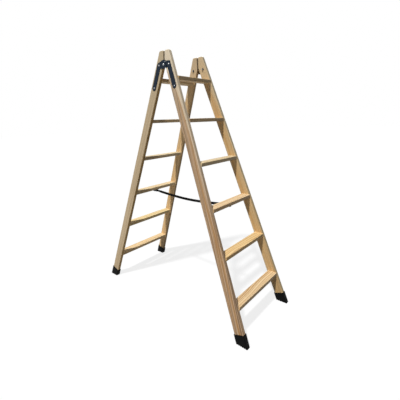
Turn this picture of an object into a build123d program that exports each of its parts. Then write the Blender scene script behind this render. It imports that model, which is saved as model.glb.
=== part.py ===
from build123d import *
import os
from math import asin, cos, degrees, radians, sin, sqrt, tan

# Double-sided wooden step ladder, standing open on a level floor.
# X runs along the treads, the front section's feet are towards -Y, and +Z is up.
# The origin is on the floor, in the middle of the spread. Sizes are in millimetres and degrees.

# Stance
HALF_ANGLE = 19.8  # lean of each section from upright
SPLAY = 3.05  # spread of each rail from the centre line, in its section's own plane
HALF_WIDTH = 167.5  # centre line to a rail's outer face, level with the pivot

# Treads, numbered from the floor up
TREAD_COUNT = 6
FIRST_TREAD_HEIGHT = 193.5  # floor to the top of the lowest tread
TREAD_PITCH = 250.0
TREAD_DEPTH = 60.0
TREAD_THICK = 22.0
TREAD_SETBACK = 2.0  # rail's inner edge to the tread's inner edge, at the underside
TREAD_EASE = 2.5
HOUSING_DEPTH = 8.0  # how far a tread end is let into its rail

# Rails
RAIL_DEPTH = 60.0
RAIL_THICK = 22.0
RAIL_EASE = 3.0
PIVOT_ABOVE_TREAD = 73.5  # top tread to the hinge pivot
HEAD_ABOVE_PIVOT = 83.0  # hinge pivot to the top of the rails
HEAD_ROUND = 12.0
HINGE_GAP = 6.0  # pivot axis to a rail's inner edge
MEETING_GAP = 2.0  # centre plane to the upright face where two rail heads meet

# Wooden pins through the rails into the tread ends
PIN_RADIUS = 4.0
PIN_LENGTH = 45.0
PIN_SPREAD = 30.0
PIN_GLUE = 0.05

# Rubber shoes
SHOE_WALL = 3.6
SHOE_SOLE = 8.0
SHOE_HEIGHT = 59.0  # floor to rim, along the middle of the rail
SHOE_GROOVES = 5
GROOVE_PITCH = 12.0
GROOVE_WIDTH = 4.0
GROOVE_DEPTH = 2.0

# Hinge plates
PLATE_THICK = 2.5
PLATE_CLEAR = 0.15
PLATE_BEND = 28.0  # pivot down to the crease between a plate's head and its arm
ARM_HALF_WIDTH = 15.5
ARM_SHIFT = 3.0  # middle of a rail out to the middle of a plate's arm
BOLT_DOWN = 15.0  # pivot to the bolt at the upper end of an arm, along the rail
SCREW_DOWN = 153.0  # pivot to the screw at its lower end
FRONT_HEAD_RADIUS = 22.0
FRONT_CORNER_RADIUS = 4.0
FRONT_CORNER_DOWN = 5.0
REAR_HEAD_RADIUS = 26.0
JOGGLE_CLEAR = 2.0
JOGGLE_WIDTH = 5.0

# Hinge pivots and stop pins
PIVOT_RADIUS = 3.5
PIVOT_RUNNING = 0.06
PIVOT_HEAD_RADIUS = 6.5
PIVOT_HEAD_HEIGHT = 3.2
PIVOT_TAIL_RADIUS = 5.0
PIVOT_TAIL_HEIGHT = 2.0
STOP_RADIUS = 21.6  # pivot to the stop pin
STOP_RISE = 38.0  # stop pin above the level of the pivot, as an angle
STOP_PIN_RADIUS = 2.5
STOP_PIN_PROUD = 1.0
STOP_CLEAR = 0.4

# Hinge bolts, washers, nuts and screws
BOLT_RADIUS = 3.0
BOLT_HEAD_RADIUS = 5.0
BOLT_HEAD_HEIGHT = 2.6
BOLT_SPARE = 3.0
HOLE_CLEAR = 0.2
WASHER_RADIUS = 7.0
WASHER_THICK = 1.5
SPOT_FACE_MARGIN = 0.5
SPOT_FACE_DEPTH = 0.4  # at its shallow side
NUT_ACROSS_FLATS = 10.0
NUT_FACE_RADIUS = 4.7  # outer face of a nut, inside its turned-off corners
NUT_CHAMFER = 30.0
NUT_THICK = 5.0
SCREW_RADIUS = 2.0
SCREW_LENGTH = 18.0
SCREW_HEAD_RADIUS = 4.2
SCREW_HEAD_HEIGHT = 2.4
SLOT_WIDTH = 1.0
SLOT_DEPTH = 1.0
SNUG = 0.05

# Stay rope and its hold under the third tread of each section
ROPE_TREAD_COUNT = 3  # treads from the floor up to the one that holds the rope
ROPE_RADIUS = 7.0
ROPE_CLEAR = 0.3
CLIP_THICK = 1.5
CLIP_WIDTH = 14.0
CLIP_INSET = 10.0  # tread's inner edge to the middle of the clip
CLIP_FLANGE_REACH = 23.0
CLIP_CORNER = 4.0
CLIP_SCREW_SPREAD = 32.0
CLIP_SCREW_RADIUS = 2.0
CLIP_SCREW_LENGTH = 14.0
CLIP_SCREW_HEAD_RADIUS = 4.0
CLIP_SCREW_HEAD_HEIGHT = 2.2
KNOT_SLACK = 2.5  # clip to knot
KNOT_RADIUS = 10.0
KNOT_NECK_RADIUS = 7.6
KNOT_LENGTH = 22.0
KNOT_WRAPS = 3
KNOT_SHOULDER = 0.25  # share of a wrap's width where its crown begins

# Route of the rope from the front knot to the rear knot: shares of the way from the middle to a knot,
# and drops below the level of the clips
ROPE_ROUTE = [
    (-1.0, 0.0),
    (-0.91, 0.0),
    (-0.755, 5.0),
    (-0.45, 12.6),
    (-0.153, 17.6),
    (0.153, 17.8),
    (0.45, 12.4),
    (0.755, 4.8),
    (0.91, 0.0),
    (1.0, 0.0),
]

# Places worked out from the driving sizes
LEAN = radians(HALF_ANGLE)
TILT = radians(SPLAY)
TOP_TREAD = FIRST_TREAD_HEIGHT + (TREAD_COUNT - 1) * TREAD_PITCH
PIVOT_HEIGHT = TOP_TREAD + PIVOT_ABOVE_TREAD
TOP_HEIGHT = PIVOT_HEIGHT + HEAD_ABOVE_PIVOT
RAIL_OUTER = HINGE_GAP + RAIL_DEPTH
RAIL_MIDDLE = HINGE_GAP + RAIL_DEPTH / 2
ARM_MIDDLE = RAIL_MIDDLE + ARM_SHIFT
BEYOND = 2 * TOP_HEIGHT  # longer than the ladder in every direction
FOLD_ANGLE = 2 * HALF_ANGLE

# Directions of the front section and of its left rail
ACROSS = Vector(1, 0, 0)
OUT = Vector(0, -cos(LEAN), sin(LEAN))
DOWN = Vector(0, -sin(LEAN), -cos(LEAN))
INWARD = ACROSS * cos(TILT) + DOWN * sin(TILT)

# Rail frame: x is out of the section, y is down the rail, z is through the rail from its outer face
RAIL_FRAME = Plane(origin=(-HALF_WIDTH, 0, PIVOT_HEIGHT), x_dir=OUT, z_dir=INWARD)

# Hinge frame: the same, but square to the pivot axis, on the inner faces of the plates' heads
PLATE_SEAT = -(HALF_WIDTH + PLATE_BEND * tan(TILT))
HINGE_FRAME = Plane(origin=(PLATE_SEAT, 0, PIVOT_HEIGHT), x_dir=OUT, z_dir=ACROSS)


def rail_point(reach, height):
    """Rail-frame point of the outer face, from its reach out of the centre plane and its height."""
    rise = height - PIVOT_HEIGHT
    out = reach * cos(LEAN) + rise * sin(LEAN)
    down = reach * sin(LEAN) - rise * cos(LEAN)
    return (out, down / cos(TILT))


def rail_down(out, height):
    """How far down the rail a line at this distance out passes a height."""
    return (out * sin(LEAN) - (height - PIVOT_HEIGHT)) / (cos(LEAN) * cos(TILT))


def inner_reach(height):
    """Centre plane to the rails' inner edges at a height."""
    return (HINGE_GAP - (height - PIVOT_HEIGHT) * sin(LEAN)) / cos(LEAN)


def outer_face(reach, height):
    """X of the left rail's outer face at a reach and a height."""
    down = reach * sin(LEAN) - (height - PIVOT_HEIGHT) * cos(LEAN)
    return -(HALF_WIDTH + down * tan(TILT))


def inside(depth):
    """All that lies further in than a depth into both rails, measured from their outer faces."""
    half = RAIL_FRAME * Pos(0, 0, depth + BEYOND / 2) * Box(BEYOND, BEYOND, BEYOND)
    return half & mirror(half, about=Plane.YZ)


def below(height):
    return Pos(0, 0, height - BEYOND / 2) * Box(BEYOND, BEYOND, BEYOND)


def right_of(left):
    return mirror(left, about=Plane.YZ)


def rear_of(front):
    return mirror(front, about=Plane.XZ)


def both_sides(pieces):
    return pieces + [right_of(piece) for piece in pieces]


def rod(radius, start, end):
    """Round bar along Z between two heights of its own frame."""
    return Pos(0, 0, (start + end) / 2) * Cylinder(radius, end - start)


def dome(radius, height):
    """Low domed head standing on its own XY plane."""
    ball = (radius**2 + height**2) / (2 * height)
    return rod(radius, 0, height) & Pos(0, 0, height - ball) * Sphere(ball)


# Rails


def plain_rail():
    """Left rail before its housings: straight, with an upright meeting face and a rounded head."""
    meeting_height = PIVOT_HEIGHT + (HINGE_GAP - MEETING_GAP * cos(LEAN)) / sin(LEAN)
    outline = Polygon(
        (HINGE_GAP, rail_down(HINGE_GAP, SHOE_SOLE)),
        (RAIL_OUTER, rail_down(RAIL_OUTER, SHOE_SOLE)),
        (RAIL_OUTER, rail_down(RAIL_OUTER, TOP_HEIGHT)),
        rail_point(MEETING_GAP, TOP_HEIGHT),
        rail_point(MEETING_GAP, meeting_height),
        align=None,
    )
    outline = fillet(outline.vertices().sort_by(Axis.Y)[:2], HEAD_ROUND)
    rail = extrude(outline, amount=RAIL_THICK, dir=(0, 0, 1))
    faces = rail.faces().sort_by(Axis.Z)
    rail = fillet(faces[0].edges() + faces[-1].edges(), RAIL_EASE)
    return RAIL_FRAME * rail


# Treads and their pins


def tread_top(level):
    return FIRST_TREAD_HEIGHT + (level - 1) * TREAD_PITCH


def tread_inner(level):
    """Centre plane to a tread's inner edge."""
    return inner_reach(tread_top(level) - TREAD_THICK) + TREAD_SETBACK


def tread_middle(level):
    return tread_inner(level) + TREAD_DEPTH / 2


def tread_board(level):
    """Level board that reaches to the bottoms of both rails' housings."""
    board = Box(BEYOND, TREAD_DEPTH, TREAD_THICK)
    board = fillet(board.edges().filter_by(Axis.X), TREAD_EASE)
    board = Pos(0, -tread_middle(level), tread_top(level) - TREAD_THICK / 2) * board
    return board & inside(RAIL_THICK - HOUSING_DEPTH)


def tread(board, rails):
    """Board with its nosing notched at both ends, flush with the rails that house it."""
    return (board & inside(RAIL_THICK)) + (board & rails)


def tread_pin_rods(level, radius, length):
    """Rods at the places of a tread's two left pins, from the rail's outer face inwards."""
    height = tread_top(level) - TREAD_THICK / 2
    rods = []
    for side in (-1, 1):
        reach = tread_middle(level) + side * PIN_SPREAD / 2
        place = Pos(outer_face(reach, height), -reach, height) * Rot(0, 90, 0)
        rods.append(place * rod(radius, -length, length))
    return rods


# Shoes


def shoe(rail):
    """Rubber cup round a rail end, with a level grooved sole."""
    rim = rail_down(RAIL_MIDDLE, 0) - SHOE_HEIGHT
    length = 2 * SHOE_HEIGHT
    cup = Box(RAIL_DEPTH + 2 * SHOE_WALL, length, RAIL_THICK + 2 * SHOE_WALL)
    cup = fillet(cup.edges().filter_by(Axis.Y), RAIL_EASE + SHOE_WALL / 2)
    cup = RAIL_FRAME * Pos(RAIL_MIDDLE, rim + length / 2, RAIL_THICK / 2) * cup
    cup = cup - below(0) - rail
    middle = inner_reach(0) + RAIL_DEPTH / cos(LEAN) / 2
    for index in range(SHOE_GROOVES):
        shift = (index - (SHOE_GROOVES - 1) / 2) * GROOVE_PITCH
        groove = Box(BEYOND, GROOVE_WIDTH, 2 * GROOVE_DEPTH)
        cup -= Pos(0, -middle - shift, 0) * groove
    return cup


# Hinge plates


def arm_top():
    return Pos(ARM_MIDDLE, BOLT_DOWN) * Circle(ARM_HALF_WIDTH)


def arm_outline():
    """Straight arm with round ends, about its bolt and its screw."""
    end = Pos(ARM_MIDDLE, SCREW_DOWN) * Circle(ARM_HALF_WIDTH)
    return make_hull(arm_top().edges() + end.edges())


def front_outline():
    """Front plate: a disc round the pivot drawn out to the arm, with a square upper corner."""
    corner_out = ARM_MIDDLE + ARM_HALF_WIDTH - FRONT_CORNER_RADIUS
    corner = Pos(corner_out, FRONT_CORNER_DOWN) * Circle(FRONT_CORNER_RADIUS)
    head = make_hull(Circle(FRONT_HEAD_RADIUS).edges() + arm_top().edges() + corner.edges())
    return head + arm_outline()


def rear_head_outline():
    """Rear plate's head: a disc round the pivot drawn out to the arm, with a recess for the stop pin."""
    head = make_hull(Circle(REAR_HEAD_RADIUS).edges() + arm_top().edges())
    shoulder = degrees(asin((STOP_PIN_RADIUS + STOP_CLEAR) / STOP_RADIUS))
    opened = 180 + HALF_ANGLE + STOP_RISE + shoulder
    closed = opened - FOLD_ANGLE - 3 * shoulder
    corners = [Vector(BEYOND, 0).rotate(Axis.Z, angle) for angle in (closed, (closed + opened) / 2, opened)]
    recess = Polygon((0, 0), *[(corner.X, corner.Y) for corner in corners], align=None)
    return head - (recess - Circle(STOP_RADIUS - STOP_PIN_RADIUS - STOP_CLEAR))


def upper_side(down):
    return Pos(0, down - BEYOND / 2) * Rectangle(BEYOND, BEYOND)


def lower_side(down):
    return Pos(0, down + BEYOND / 2) * Rectangle(BEYOND, BEYOND)


def flat_layer(outline, start):
    """Head layer square to the pivot axis, its inner face this far out of the hinge frame."""
    layer = extrude(outline, amount=PLATE_THICK, dir=(0, 0, -1))
    return HINGE_FRAME * Pos(0, 0, -start) * layer


def arm_layer(outline):
    """Arm flat on the rail's outer face, lapped a little over the crease into the head."""
    arm = outline & lower_side(PLATE_BEND - PLATE_THICK)
    return RAIL_FRAME * extrude(arm, amount=PLATE_THICK, dir=(0, 0, -1))


def plate_holes(pivot_radius):
    """Rods through a plate for its pivot, its bolt and its screw."""
    pivot = HINGE_FRAME * rod(pivot_radius, -BEYOND, BEYOND)
    bolt = bolt_place() * rod(BOLT_RADIUS + HOLE_CLEAR, -BEYOND, BEYOND)
    screw = screw_place() * rod(SCREW_RADIUS + HOLE_CLEAR, -BEYOND, BEYOND)
    return [pivot, bolt, screw]


def stop_place():
    """Hinge-frame place of the stop pin on the front plate."""
    angle = radians(STOP_RISE - HALF_ANGLE)
    return Pos(STOP_RADIUS * cos(angle), -STOP_RADIUS * sin(angle))


def front_plate():
    outline = front_outline()
    plate = flat_layer(outline & upper_side(PLATE_BEND), 0) + arm_layer(outline)
    plate -= HINGE_FRAME * stop_place() * rod(STOP_PIN_RADIUS + SNUG, -BEYOND, BEYOND)
    return plate - plate_holes(PIVOT_RADIUS + SNUG)


def rear_plate():
    """Plate whose head is stepped out, to turn over the front plate's head."""
    head = rear_head_outline()
    clear = Circle(FRONT_HEAD_RADIUS + JOGGLE_CLEAR)
    step = Circle(FRONT_HEAD_RADIUS + JOGGLE_CLEAR + JOGGLE_WIDTH)
    arm_side = Pos(HINGE_GAP + BEYOND / 2, 0) * Rectangle(BEYOND, BEYOND)
    base = ((head & arm_side) - clear) + arm_outline() - clear
    raised = PLATE_THICK + PLATE_CLEAR
    riser = extrude((head & step & arm_side) - clear, amount=raised, dir=(0, 0, -1))
    plate = flat_layer(base & upper_side(PLATE_BEND), 0) + arm_layer(base)
    plate += HINGE_FRAME * riser
    plate += flat_layer(head & step, raised)
    return plate - plate_holes(PIVOT_RADIUS + PIVOT_RUNNING)


# Hinge fasteners


def pivot_rivet():
    outer = 2 * PLATE_THICK + PLATE_CLEAR + PIVOT_RUNNING
    head = Pos(0, 0, -outer) * Rot(180, 0, 0) * dome(PIVOT_HEAD_RADIUS, PIVOT_HEAD_HEIGHT)
    tail = rod(PIVOT_TAIL_RADIUS, 0, PIVOT_TAIL_HEIGHT)
    return HINGE_FRAME * (head + rod(PIVOT_RADIUS, -outer, 0) + tail)


def stop_pin():
    outer = 2 * PLATE_THICK + PLATE_CLEAR + STOP_PIN_PROUD
    return HINGE_FRAME * stop_place() * rod(STOP_PIN_RADIUS, -outer, 0)


def bolt_place():
    return HINGE_FRAME * Pos(ARM_MIDDLE, BOLT_DOWN)


def bolt_seat():
    """Depth of the washer's level seat in the rail's inner face, in the hinge frame."""
    lowest = BOLT_DOWN + WASHER_RADIUS + SPOT_FACE_MARGIN
    return RAIL_THICK / cos(TILT) + (PLATE_BEND - lowest) * tan(TILT) - SPOT_FACE_DEPTH


def hinge_bolt():
    """Round-headed bolt through a plate, a rail, a washer and a nut, to its spare thread."""
    length = PLATE_THICK + bolt_seat() + WASHER_THICK + NUT_THICK + BOLT_SPARE
    head = Rot(180, 0, 0) * dome(BOLT_HEAD_RADIUS, BOLT_HEAD_HEIGHT)
    return bolt_place() * Pos(0, 0, -PLATE_THICK) * (head + rod(BOLT_RADIUS, 0, length))


def hinge_washer():
    washer = rod(WASHER_RADIUS, 0, WASHER_THICK) - rod(BOLT_RADIUS + SNUG, -BEYOND, BEYOND)
    return bolt_place() * Pos(0, 0, bolt_seat()) * washer


def hinge_nut():
    """Hexagon nut, its corners turned off at the outer face."""
    root = NUT_FACE_RADIUS + NUT_THICK / tan(radians(NUT_CHAMFER))
    nut = extrude(RegularPolygon(NUT_ACROSS_FLATS / sqrt(3), 6), amount=NUT_THICK)
    nut &= Pos(0, 0, NUT_THICK / 2) * Cone(root, NUT_FACE_RADIUS, NUT_THICK)
    nut -= rod(BOLT_RADIUS + SNUG, -BEYOND, BEYOND)
    return bolt_place() * Pos(0, 0, bolt_seat() + WASHER_THICK) * nut


def screw_place():
    """Seat of a screw's head, on the lower end of a plate's arm."""
    return RAIL_FRAME * Pos(ARM_MIDDLE, SCREW_DOWN, -PLATE_THICK)


def wood_screw(radius, length, head_radius, head_height):
    """Round-headed screw with a slot, pointing up Z from the seat of its head."""
    slot = Pos(0, 0, head_height) * Box(2 * head_radius, SLOT_WIDTH, 2 * SLOT_DEPTH)
    head = Rot(180, 0, 0) * (dome(head_radius, head_height) - slot)
    return head + rod(radius, 0, length)


def hinge_screw():
    return screw_place() * wood_screw(SCREW_RADIUS, SCREW_LENGTH, SCREW_HEAD_RADIUS, SCREW_HEAD_HEIGHT)


def rail_holes():
    """Holes in a rail for the bolt and the screw, and the level spot face under the washer."""
    bolt = bolt_place() * rod(BOLT_RADIUS + HOLE_CLEAR, -BEYOND, BEYOND)
    spot = bolt_place() * rod(WASHER_RADIUS + SPOT_FACE_MARGIN, bolt_seat(), bolt_seat() + RAIL_THICK)
    screw = screw_place() * rod(SCREW_RADIUS + SNUG, 0, SCREW_LENGTH)
    return [bolt, spot, screw]


# Rope hold under a tread


def rope_level():
    """Height of the rope's middle in its clips."""
    return tread_top(ROPE_TREAD_COUNT) - TREAD_THICK - ROPE_CLEAR - ROPE_RADIUS


def rope_frame(reach):
    """Rope's middle under the front tread, at a reach: x along the tread, y up, z outwards."""
    return Plane(origin=(0, -reach, rope_level()), x_dir=ACROSS, z_dir=(0, -1, 0))


def clip_frame():
    return rope_frame(tread_inner(ROPE_TREAD_COUNT) + CLIP_INSET)


def knot_reach():
    """Centre plane to the knot's inner face."""
    return tread_inner(ROPE_TREAD_COUNT) + CLIP_INSET + CLIP_WIDTH / 2 + KNOT_SLACK


def rope_clip():
    """Saddle strap bent round the rope, with a flat flange on each side."""
    bore = ROPE_RADIUS + ROPE_CLEAR
    outer = bore + CLIP_THICK
    flange = Pos(0, bore - CLIP_THICK / 2) * Rectangle(2 * CLIP_FLANGE_REACH, CLIP_THICK)
    strap = Circle(outer) + Pos(0, bore / 2) * Rectangle(2 * outer, bore)
    hollow = Circle(bore) + Pos(0, bore) * Rectangle(2 * bore, 2 * bore)
    section = (strap & Pos(0, bore - outer) * Rectangle(2 * outer, 2 * outer)) + flange - hollow
    clip = extrude(section, amount=CLIP_WIDTH / 2, both=True)
    ends = clip.edges().filter_by(Axis.Y).group_by(Axis.X)
    clip = fillet(ends[0] + ends[-1], CLIP_CORNER)
    return clip_frame() * clip - clip_screw_rods(CLIP_SCREW_RADIUS + SNUG)


def clip_screw_places():
    up = clip_frame() * Pos(0, ROPE_RADIUS + ROPE_CLEAR - CLIP_THICK, 0) * Rot(-90, 0, 0)
    return [up * Pos(side * CLIP_SCREW_SPREAD / 2, 0, 0) for side in (-1, 1)]


def clip_screw_rods(radius):
    return [place * rod(radius, 0, CLIP_SCREW_LENGTH) for place in clip_screw_places()]


def clip_screws():
    screw = wood_screw(CLIP_SCREW_RADIUS, CLIP_SCREW_LENGTH, CLIP_SCREW_HEAD_RADIUS, CLIP_SCREW_HEAD_HEIGHT)
    return [place * screw for place in clip_screw_places()]


def rope_knot():
    """Stopper knot on the rope's end: wraps side by side, flattened against the tread above."""
    pitch = KNOT_LENGTH / KNOT_WRAPS
    outline = [(0, 0), (0, KNOT_NECK_RADIUS)]
    for wrap in range(KNOT_WRAPS):
        outline.append(((wrap + KNOT_SHOULDER) * pitch, KNOT_RADIUS))
        outline.append(((wrap + 1 - KNOT_SHOULDER) * pitch, KNOT_RADIUS))
        outline.append(((wrap + 1) * pitch, KNOT_NECK_RADIUS))
    outline.append((KNOT_LENGTH, 0))
    knot = revolve(Plane.XZ * Polygon(*outline, align=None), axis=Axis.X)
    knot = rope_frame(knot_reach()) * Rot(0, -90, 0) * knot
    return knot & below(tread_top(ROPE_TREAD_COUNT) - TREAD_THICK - ROPE_CLEAR)


def stay_rope():
    """Tube along the rope's route, each bend as wide as its two runs allow."""
    points = [Vector(0, share * knot_reach(), rope_level() - drop) for share, drop in ROPE_ROUTE]
    radii = []
    for before, here, after in zip(points, points[1:], points[2:]):
        turn = (here - before).get_angle(after - here)
        shorter = min((here - before).length, (after - here).length)
        radii.append(0.45 * shorter / tan(radians(turn) / 2))
    path = FilletPolyline(*points, radius=radii)
    tube = sweep(Plane(origin=path @ 0, z_dir=path % 0) * Circle(ROPE_RADIUS), path=path)
    print("rope route", [(round(point.Y, 1), round(point.Z, 1)) for point in points])
    print("rope length", round(path.length, 1), "bend radii", [round(radius) for radius in radii])
    print("rope volume over section times length", tube.volume / (path.length * Circle(ROPE_RADIUS).area))
    return tube


# Assembly: everything is made for the front left, then mirrored to the other rails


def save(name, pieces):
    shape = pieces[0] if len(pieces) == 1 else Compound(children=pieces)
    export_step(shape, f"parts/{name}.step")


def single(shape):
    """The one solid that a finished piece consists of."""
    return shape.solids()[0]


os.makedirs("parts", exist_ok=True)

left_blank = plain_rail()
blanks = left_blank + right_of(left_blank)
levels = range(1, TREAD_COUNT + 1)

treads = {}
pins = []
rail_cuts = rail_holes()
for level in levels:
    board = tread_board(level)
    holes = tread_pin_rods(level, PIN_RADIUS + PIN_GLUE, PIN_LENGTH)
    rail_cuts.append(board)
    rail_cuts.extend(holes)
    treads[level] = tread(board, blanks) - holes - [right_of(hole) for hole in holes]
    pins.extend(peg & inside(0) for peg in tread_pin_rods(level, PIN_RADIUS, PIN_LENGTH))
treads[ROPE_TREAD_COUNT] -= clip_screw_rods(CLIP_SCREW_RADIUS + SNUG)

left_rail = left_blank - rail_cuts
left_shoe = shoe(left_blank)

fronts = {"left_rail": left_rail, "left_shoe": left_shoe}
for name, piece in fronts.items():
    front = single(piece)
    save(f"front_{name}", [front])
    save(f"front_{name.replace('left', 'right')}", [right_of(front)])
    save(f"rear_{name}", [rear_of(front)])
    save(f"rear_{name.replace('left', 'right')}", [rear_of(right_of(front))])

for level in levels:
    front = single(treads[level])
    save(f"front_tread_{level}", [front])
    save(f"rear_tread_{level}", [rear_of(front)])

groups = {
    "tread_pins": both_sides([single(pin) for pin in pins]),
    "hinge_bolts": both_sides([single(hinge_bolt())]),
    "hinge_washers": both_sides([single(hinge_washer())]),
    "hinge_nuts": both_sides([single(hinge_nut())]),
    "hinge_screws": both_sides([single(hinge_screw())]),
    "rope_clip": [single(rope_clip())],
    "rope_clip_screws": [single(screw) for screw in clip_screws()],
    "rope_knot": [single(rope_knot())],
}
for name, pieces in groups.items():
    save(f"front_{name}", pieces)
    save(f"rear_{name}", [rear_of(piece) for piece in pieces])

hinge = {
    "hinge_front_plate": single(front_plate()),
    "hinge_rear_plate": rear_of(single(rear_plate())),
    "hinge_pivot": single(pivot_rivet()),
}
for name, piece in hinge.items():
    save(f"left_{name}", [piece])
    save(f"right_{name}", [right_of(piece)])
save("hinge_stop_pins", both_sides([single(stop_pin())]))
save("stay_rope", [single(stay_rope())])
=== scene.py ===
import bpy
import math
from collections import namedtuple
from mathutils import Matrix, Vector


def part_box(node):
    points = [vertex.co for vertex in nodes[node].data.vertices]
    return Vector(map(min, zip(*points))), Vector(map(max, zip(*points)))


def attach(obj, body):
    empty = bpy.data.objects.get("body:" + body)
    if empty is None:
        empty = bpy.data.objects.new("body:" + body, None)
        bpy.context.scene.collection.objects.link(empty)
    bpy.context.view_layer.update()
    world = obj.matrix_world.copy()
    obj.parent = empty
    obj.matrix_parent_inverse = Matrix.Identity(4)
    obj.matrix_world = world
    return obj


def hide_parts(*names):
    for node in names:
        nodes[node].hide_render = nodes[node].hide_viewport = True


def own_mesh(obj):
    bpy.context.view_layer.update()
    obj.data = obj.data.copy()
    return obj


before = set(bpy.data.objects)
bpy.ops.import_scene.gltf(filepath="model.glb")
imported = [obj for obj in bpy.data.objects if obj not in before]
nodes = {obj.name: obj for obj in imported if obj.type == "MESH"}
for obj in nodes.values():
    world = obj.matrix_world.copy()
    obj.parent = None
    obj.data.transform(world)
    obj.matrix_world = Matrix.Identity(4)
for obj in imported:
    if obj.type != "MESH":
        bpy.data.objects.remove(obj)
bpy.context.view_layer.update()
scene = bpy.context.scene
scene.view_settings.view_transform = "Standard"

# Sizes shared with the solids, in metres and radians
LEAN = math.radians(19.8)
SPLAY = math.radians(3.05)
PIVOT_HEIGHT = 1.517
RAIL_FACE = 0.1675  # centre line to a rail's outer face, level with the pivot
RAIL_MIDDLE = 0.036  # pivot axis to the middle of a rail's width
RAIL_HALF_THICK = 0.011
TREADS = 6
ROPE_RADIUS = 0.007
ROPE_ROUTE = [
    (0.0, -0.3323, 0.6642),
    (0.0, -0.3024, 0.6642),
    (0.0, -0.2509, 0.6592),
    (0.0, -0.1495, 0.6516),
    (0.0, -0.0508, 0.6466),
    (0.0, 0.0508, 0.6464),
    (0.0, 0.1495, 0.6518),
    (0.0, 0.2509, 0.6594),
    (0.0, 0.3024, 0.6642),
    (0.0, 0.3323, 0.6642),
]
KNOT_CEILING = 0.6711  # underside of the treads that hold the rope


# Camera

CAMERA_PLACE = (-1.40207, -1.29886, 1.1872)
CAMERA_YAW = math.radians(48.643)
CAMERA_PITCH = math.radians(9.151)
CAMERA_ROLL = math.radians(-1.788)
CAMERA_NEAR = 0.01
SENSOR_WIDTH = 36  # millimetres
PICTURE_SIZE = 400  # pixels
FOCAL_LENGTH = 286.085  # pixels
LENS_AXIS = (193.885, 165.63)  # where it meets the picture, in pixels from the top left corner


def photo_camera():
    """Camera where the photograph was taken from, with the crop's off-centre axis."""
    flat = math.cos(CAMERA_PITCH)
    ahead = Vector((math.sin(CAMERA_YAW) * flat, math.cos(CAMERA_YAW) * flat, -math.sin(CAMERA_PITCH)))
    level = Vector((math.cos(CAMERA_YAW), -math.sin(CAMERA_YAW), 0))
    above = level.cross(ahead)
    right = level * math.cos(CAMERA_ROLL) + above * math.sin(CAMERA_ROLL)
    up = above * math.cos(CAMERA_ROLL) - level * math.sin(CAMERA_ROLL)
    turn = Matrix((right, up, -ahead)).transposed()
    bpy.ops.object.camera_add(location=CAMERA_PLACE, rotation=turn.to_euler())
    camera = bpy.context.object
    camera.name = "photo_camera"
    lens = camera.data
    lens.sensor_fit = "HORIZONTAL"
    lens.sensor_width = SENSOR_WIDTH
    lens.lens = SENSOR_WIDTH * FOCAL_LENGTH / PICTURE_SIZE
    across, down = LENS_AXIS
    lens.shift_x = (PICTURE_SIZE / 2 - across) / PICTURE_SIZE
    lens.shift_y = (down - PICTURE_SIZE / 2) / PICTURE_SIZE
    lens.clip_start = CAMERA_NEAR
    scene.camera = camera


# Rope

ROUTE_STEPS = 40  # points read from the route's spline between two of its control points
STRANDS = 6  # that wind each way round the rope
CROSSING_STEPS = 4  # rings of a strand from one crossing to the next
STRAND_WAVE = 0.095  # rise and fall of a strand, as a share of the rope's radius
STRAND_HALF_THICK = 0.125  # likewise
STRAND_HALF_WIDE = 0.52  # as a share of the room that each strand has
CORE_RADIUS = 0.75  # as a share of the rope's radius
CORE_SIDES = 10
CORE_STEP = 0.004
FEWEST_STRAND_RINGS = 4
FEWEST_CORE_RINGS = 8
ROPE_LAY = 0.050  # length in which a strand goes once round
ROPE_STRAND_SIDES = 6
ROPE_SWELL = 0.25  # how much fuller the plait is where nothing grips it
GRIPPED_END = 0.035  # length at each end that stays tight
SWELLING_LENGTH = 0.03  # over which it grows full

# Stopper knot, measured from the end of the rope's route
WRAPS = 3.2
WRAPS_START = 0.6  # angle where they begin, in radians
WRAPS_STEPS = 160
WRAPS_OFFSET = 0.0040
WRAPS_LENGTH = 0.0135
WRAP_RADIUS = 0.0040
WRAP_LAY = 0.028
WRAP_INNER_REACH = 0.0030  # off the rope's axis, where an end of the wraps is tucked in
WRAP_RISE = 0.0029  # from there to the full wraps
TUCK_RATE = 7  # in shares of the wraps' length
TAIL_RADIUS = 0.0062
TAIL_DROP = 0.0008
TAIL_PLACES = (0.007, 0.012, 0.016, 0.0187, 0.0214)
KNOT_STRAND_SIDES = 5
PRESSED_DEPTH = 0.0012  # of the knot's top, against the tread


def route_line(name, route):
    """Smooth line along a route, as points."""
    curve = bpy.data.curves.new(name, "CURVE")
    curve.dimensions = "3D"
    spline = curve.splines.new("NURBS")
    spline.points.add(len(route) - 1)
    for point, spot in zip(spline.points, route):
        point.co = (*spot, 1)
    spline.order_u = 3
    spline.use_endpoint_u = True
    spline.resolution_u = ROUTE_STEPS
    line = bpy.data.objects.new(name, curve)
    scene.collection.objects.link(line)
    bpy.context.view_layer.update()
    mesh = bpy.data.meshes.new_from_object(line)
    points = [vertex.co.copy() for vertex in mesh.vertices]
    bpy.data.meshes.remove(mesh)
    bpy.data.objects.remove(line)
    bpy.data.curves.remove(curve)
    return points


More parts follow.
